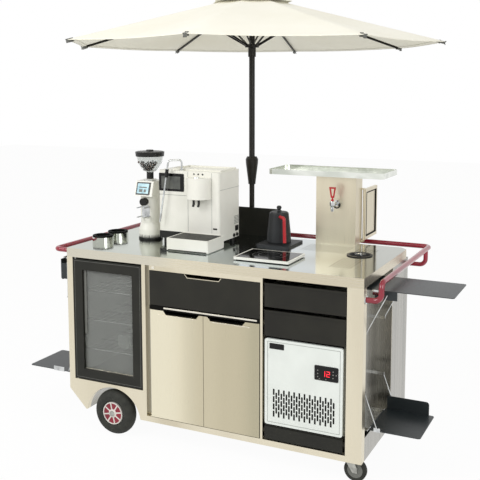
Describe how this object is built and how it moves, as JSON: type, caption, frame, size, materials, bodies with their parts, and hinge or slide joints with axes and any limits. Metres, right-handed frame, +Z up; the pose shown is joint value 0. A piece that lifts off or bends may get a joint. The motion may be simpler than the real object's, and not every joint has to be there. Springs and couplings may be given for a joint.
{
  "type": "coffee cart",
  "caption": "Wheeled coffee cart with an umbrella, fridge, ice maker, drawers, folding side shelves, push rails and brewing equipment on the worktop.",
  "frame": {"origin": "on the floor, below the umbrella mast in depth and below the middle of the deployed left lower and right upper shelves in width", "axes": "+X towards the cart's right end as its user faces the fronts, +Y from the fronts to the back, +Z up"},
  "size_m": [2.18, 1.9318, 2.2],
  "materials": {
    "worktop_steel": "brushed satin",
    "cabinet_steel": "warm vertical brushed satin",
    "insert_black": "satin grates with black rings",
    "tube_red": "gloss crimson",
    "hardware": "polished",
    "shelf_black": "satin dark grey green",
    "appliance_black": "satin black",
    "glass_dark": "tinted double glazing",
    "drawer_black": "satin brown black",
    "ice_white": "satin white",
    "wheel_rubber": "matt black with a crimson rim",
    "fork_steel": "zinc plated",
    "tower_steel": "warm brushed satin",
    "tray_steel": "polished",
    "lever_red": "gloss crimson",
    "machine_white": "satin white",
    "kettle_black": "matt black with a crimson handle",
    "mast_black": "satin black",
    "canopy_cream": "woven cream"
  },
  "bodies": {
    "cart": {"worktop": "worktop_steel", "cabinet_panels": "cabinet_steel", "front_frame": "cabinet_steel", "worktop_inserts": "insert_black", "handle_rails": "tube_red", "shelf_brackets": "hardware", "underframe": "cabinet_steel", "fridge_cabinet": "appliance_black", "water_tower": "tower_steel", "tower_tray": "tray_steel", "coffee_machine": "machine_white", "grinder": "machine_white", "kettle": "kettle_black", "hob": "machine_white", "back_screen": "appliance_black", "umbrella_mast": "mast_black", "canopy": "canopy_cream"},
    "fridge_door": {"fridge_door_frame": "appliance_black", "fridge_door_glass": "glass_dark"},
    "left_door": {"left_door": "cabinet_steel"},
    "right_door": {"right_door": "cabinet_steel"},
    "middle_drawer": {"middle_drawer": "drawer_black"},
    "upper_drawer": {"upper_drawer": "drawer_black"},
    "lower_drawer": {"lower_drawer": "drawer_black"},
    "front_wheel": {"front_wheel": "wheel_rubber"},
    "rear_wheel": {"rear_wheel": "wheel_rubber"},
    "front_caster_fork": {"front_caster_fork": "fork_steel"},
    "front_caster_wheel": {"front_caster_wheel": "wheel_rubber"},
    "rear_caster_fork": {"rear_caster_fork": "fork_steel"},
    "rear_caster_wheel": {"rear_caster_wheel": "wheel_rubber"},
    "tap_lever": {"tap_lever": "lever_red"},
    "steam_wand": {"steam_wand": "hardware"},
    "tower_door": {"tower_door": "tower_steel"},
    "umbrella_runner": {"umbrella_runner": "mast_black"},
    "right_upper_shelf": {"right_upper_shelf": "shelf_black"},
    "right_lower_shelf": {"right_lower_shelf": "shelf_black"},
    "left_upper_shelf": {"left_upper_shelf": "shelf_black"},
    "left_lower_shelf": {"left_lower_shelf": "shelf_black"},
    "right_upper_stays": {"right_upper_stays": "hardware"},
    "right_lower_stays": {"right_lower_stays": "hardware"},
    "left_upper_stays": {"left_upper_stays": "hardware"},
    "left_lower_stays": {"left_lower_stays": "hardware"},
    "ice_maker": {"ice_maker_cabinet": "ice_white", "ice_maker_front": "ice_white"},
    "rib_1": {"rib_1": "mast_black"},
    "stretcher_1": {"stretcher_1": "mast_black"},
    "rib_2": {"rib_2": "mast_black"},
    "stretcher_2": {"stretcher_2": "mast_black"},
    "rib_3": {"rib_3": "mast_black"},
    "stretcher_3": {"stretcher_3": "mast_black"},
    "rib_4": {"rib_4": "mast_black"},
    "stretcher_4": {"stretcher_4": "mast_black"},
    "rib_5": {"rib_5": "mast_black"},
    "stretcher_5": {"stretcher_5": "mast_black"},
    "rib_6": {"rib_6": "mast_black"},
    "stretcher_6": {"stretcher_6": "mast_black"},
    "rib_7": {"rib_7": "mast_black"},
    "stretcher_7": {"stretcher_7": "mast_black"},
    "rib_8": {"rib_8": "mast_black"},
    "stretcher_8": {"stretcher_8": "mast_black"}
  },
  "joints": [
    {"name": "fridge_door_hinge", "type": "hinge", "parent": "cart", "child": "fridge_door", "pos_m": [-0.713, -0.725, 0.5515], "axis": [0, 0, -1], "range_deg": [0, 105]},
    {"name": "left_door_hinge", "type": "hinge", "parent": "cart", "child": "left_door", "pos_m": [-0.282, -0.724, 0.391], "axis": [0, 0, -1], "range_deg": [0, 90]},
    {"name": "right_door_hinge", "type": "hinge", "parent": "cart", "child": "right_door", "pos_m": [0.264, -0.724, 0.391], "axis": [0, 0, 1], "range_deg": [0, 90]},
    {"name": "middle_drawer_slide", "type": "slide", "parent": "cart", "child": "middle_drawer", "axis": [0, -1, 0], "range_m": [0, 0.38]},
    {"name": "upper_drawer_slide", "type": "slide", "parent": "cart", "child": "upper_drawer", "axis": [0, -1, 0], "range_m": [0, 0.38]},
    {"name": "lower_drawer_slide", "type": "slide", "parent": "cart", "child": "lower_drawer", "axis": [0, -1, 0], "range_m": [0, 0.38]},
    {"name": "ice_maker_slide", "type": "slide", "parent": "cart", "child": "ice_maker", "axis": [0, -1, 0], "range_m": [0, 0.33]},
    {"name": "right_upper_shelf_hinge", "type": "hinge", "parent": "cart", "child": "right_upper_shelf", "pos_m": [0.715, -0.528, 0.838], "axis": [0, 1, 0], "range_deg": [0, 90]},
    {"name": "right_lower_shelf_hinge", "type": "hinge", "parent": "cart", "child": "right_lower_shelf", "pos_m": [0.746, -0.528, 0.23], "axis": [0, -1, 0], "range_deg": [0, 90]},
    {"name": "left_upper_shelf_hinge", "type": "hinge", "parent": "cart", "child": "left_upper_shelf", "pos_m": [-0.815, -0.574, 0.838], "axis": [0, 1, 0], "range_deg": [0, 90]},
    {"name": "left_lower_shelf_hinge", "type": "hinge", "parent": "cart", "child": "left_lower_shelf", "pos_m": [-0.784, -0.502, 0.23], "axis": [0, 1, 0], "range_deg": [0, 90]},
    {"name": "right_upper_stay_hinge", "type": "hinge", "parent": "cart", "child": "right_upper_stays", "pos_m": [0.73, -0.528, 0.65], "axis": [0, 1, 0], "range_deg": [-27.08, 0]},
    {"name": "right_lower_stay_hinge", "type": "hinge", "parent": "cart", "child": "right_lower_stays", "pos_m": [0.73, -0.528, 0.39], "axis": [0, 1, 0], "range_deg": [0, 20.73]},
    {"name": "left_upper_stay_hinge", "type": "hinge", "parent": "cart", "child": "left_upper_stays", "pos_m": [-0.772, -0.574, 0.65], "axis": [0, 1, 0], "range_deg": [-25, 0]},
    {"name": "left_lower_stay_hinge", "type": "hinge", "parent": "cart", "child": "left_lower_stays", "pos_m": [-0.772, -0.502, 0.39], "axis": [0, 1, 0], "range_deg": [-23.39, 0]},
    {"name": "front_wheel_axle", "type": "hinge", "parent": "cart", "child": "front_wheel", "pos_m": [-0.505, -0.707, 0.11], "axis": [0, 1, 0], "continuous": true},
    {"name": "rear_wheel_axle", "type": "hinge", "parent": "cart", "child": "rear_wheel", "pos_m": [-0.505, -0.053, 0.11], "axis": [0, 1, 0], "continuous": true},
    {"name": "front_caster_swivel", "type": "hinge", "parent": "cart", "child": "front_caster_fork", "pos_m": [0.662, -0.67, 0.12], "axis": [0, 0, 1], "continuous": true},
    {"name": "front_caster_axle", "type": "hinge", "parent": "front_caster_fork", "child": "front_caster_wheel", "pos_m": [0.697, -0.67, 0.05], "axis": [0, 1, 0], "continuous": true},
    {"name": "rear_caster_swivel", "type": "hinge", "parent": "cart", "child": "rear_caster_fork", "pos_m": [0.662, -0.09, 0.12], "axis": [0, 0, 1], "continuous": true},
    {"name": "rear_caster_axle", "type": "hinge", "parent": "rear_caster_fork", "child": "rear_caster_wheel", "pos_m": [0.697, -0.09, 0.05], "axis": [0, 1, 0], "continuous": true},
    {"name": "tap_lever_hinge", "type": "hinge", "parent": "cart", "child": "tap_lever", "pos_m": [0.393, -0.15, 1.1278], "axis": [1, 0, 0], "range_deg": [0, 35]},
    {"name": "steam_wand_swivel", "type": "hinge", "parent": "cart", "child": "steam_wand", "pos_m": [-0.308, -0.392, 1.265], "axis": [0, 0, 1], "range_deg": [0, 60]},
    {"name": "tower_door_hinge", "type": "hinge", "parent": "cart", "child": "tower_door", "pos_m": [0.499, 0.0165, 1.04], "axis": [0, 0, 1], "range_deg": [0, 90]},
    {"name": "runner_slide", "type": "slide", "parent": "cart", "child": "umbrella_runner", "axis": [0, 0, -1], "range_m": [0, 0.3307], "deforming": ["canopy"]},
    {"name": "rib_1_hinge", "type": "hinge", "parent": "cart", "child": "rib_1", "pos_m": [-0.08037, 0.00469, 2.13], "axis": [-0.1564, 0.9877, 0], "range_deg": [0, 45.5]},
    {"name": "stretcher_1_hinge", "type": "hinge", "parent": "rib_1", "child": "stretcher_1", "pos_m": [0.21606, 0.05164, 2.05238], "axis": [0.1564, -0.9877, 0], "range_deg": [0, 79.37]},
    {"name": "rib_2_hinge", "type": "hinge", "parent": "cart", "child": "rib_2", "pos_m": [-0.09237, 0.02427, 2.13], "axis": [-0.809, 0.5878, 0], "range_deg": [0, 45.5]},
    {"name": "stretcher_2_hinge", "type": "hinge", "parent": "rib_2", "child": "stretcher_2", "pos_m": [0.08404, 0.26708, 2.05238], "axis": [0.809, -0.5878, 0], "range_deg": [0, 79.37]},
    {"name": "rib_3_hinge", "type": "hinge", "parent": "cart", "child": "rib_3", "pos_m": [-0.11469, 0.02963, 2.13], "axis": [-0.9877, -0.1564, 0], "range_deg": [0, 45.5]},
    {"name": "stretcher_3_hinge", "type": "hinge", "parent": "rib_3", "child": "stretcher_3", "pos_m": [-0.16164, 0.32606, 2.05238], "axis": [0.9877, 0.1564, 0], "range_deg": [0, 79.37]},
    {"name": "rib_4_hinge", "type": "hinge", "parent": "cart", "child": "rib_4", "pos_m": [-0.13427, 0.01763, 2.13], "axis": [-0.5878, -0.809, 0], "range_deg": [0, 45.5]},
    {"name": "stretcher_4_hinge", "type": "hinge", "parent": "rib_4", "child": "stretcher_4", "pos_m": [-0.37708, 0.19404, 2.05238], "axis": [0.5878, 0.809, 0], "range_deg": [0, 79.37]},
    {"name": "rib_5_hinge", "type": "hinge", "parent": "cart", "child": "rib_5", "pos_m": [-0.13963, -0.00469, 2.13], "axis": [0.1564, -0.9877, 0], "range_deg": [0, 45.5]},
    {"name": "stretcher_5_hinge", "type": "hinge", "parent": "rib_5", "child": "stretcher_5", "pos_m": [-0.43606, -0.05164, 2.05238], "axis": [-0.1564, 0.9877, 0], "range_deg": [0, 79.37]},
    {"name": "rib_6_hinge", "type": "hinge", "parent": "cart", "child": "rib_6", "pos_m": [-0.12763, -0.02427, 2.13], "axis": [0.809, -0.5878, 0], "range_deg": [0, 45.5]},
    {"name": "stretcher_6_hinge", "type": "hinge", "parent": "rib_6", "child": "stretcher_6", "pos_m": [-0.30404, -0.26708, 2.05238], "axis": [-0.809, 0.5878, 0], "range_deg": [0, 79.37]},
    {"name": "rib_7_hinge", "type": "hinge", "parent": "cart", "child": "rib_7", "pos_m": [-0.10531, -0.02963, 2.13], "axis": [0.9877, 0.1564, 0], "range_deg": [0, 45.5]},
    {"name": "stretcher_7_hinge", "type": "hinge", "parent": "rib_7", "child": "stretcher_7", "pos_m": [-0.05836, -0.32606, 2.05238], "axis": [-0.9877, -0.1564, 0], "range_deg": [0, 79.37]},
    {"name": "rib_8_hinge", "type": "hinge", "parent": "cart", "child": "rib_8", "pos_m": [-0.08573, -0.01763, 2.13], "axis": [0.5878, 0.809, 0], "range_deg": [0, 45.5]},
    {"name": "stretcher_8_hinge", "type": "hinge", "parent": "rib_8", "child": "stretcher_8", "pos_m": [0.15708, -0.19404, 2.05238], "axis": [-0.5878, -0.809, 0], "range_deg": [0, 79.37]}
  ],
  "couplings": [
    {"joint": "right_upper_stay_hinge", "follows": "right_upper_shelf_hinge", "ratio": -0.30093},
    {"joint": "right_lower_stay_hinge", "follows": "right_lower_shelf_hinge", "ratio": 0.23029},
    {"joint": "left_upper_stay_hinge", "follows": "left_upper_shelf_hinge", "ratio": -0.27778},
    {"joint": "left_lower_stay_hinge", "follows": "left_lower_shelf_hinge", "ratio": -0.25983},
    {"joint": "rib_1_hinge", "follows": "runner_slide", "rad_per_m": 2.4013},
    {"joint": "stretcher_1_hinge", "follows": "runner_slide", "rad_per_m": 4.189},
    {"joint": "rib_2_hinge", "follows": "runner_slide", "rad_per_m": 2.4013},
    {"joint": "stretcher_2_hinge", "follows": "runner_slide", "rad_per_m": 4.189},
    {"joint": "rib_3_hinge", "follows": "runner_slide", "rad_per_m": 2.4013},
    {"joint": "stretcher_3_hinge", "follows": "runner_slide", "rad_per_m": 4.189},
    {"joint": "rib_4_hinge", "follows": "runner_slide", "rad_per_m": 2.4013},
    {"joint": "stretcher_4_hinge", "follows": "runner_slide", "rad_per_m": 4.189},
    {"joint": "rib_5_hinge", "follows": "runner_slide", "rad_per_m": 2.4013},
    {"joint": "stretcher_5_hinge", "follows": "runner_slide", "rad_per_m": 4.189},
    {"joint": "rib_6_hinge", "follows": "runner_slide", "rad_per_m": 2.4013},
    {"joint": "stretcher_6_hinge", "follows": "runner_slide", "rad_per_m": 4.189},
    {"joint": "rib_7_hinge", "follows": "runner_slide", "rad_per_m": 2.4013},
    {"joint": "stretcher_7_hinge", "follows": "runner_slide", "rad_per_m": 4.189},
    {"joint": "rib_8_hinge", "follows": "runner_slide", "rad_per_m": 2.4013},
    {"joint": "stretcher_8_hinge", "follows": "runner_slide", "rad_per_m": 4.189}
  ]
}
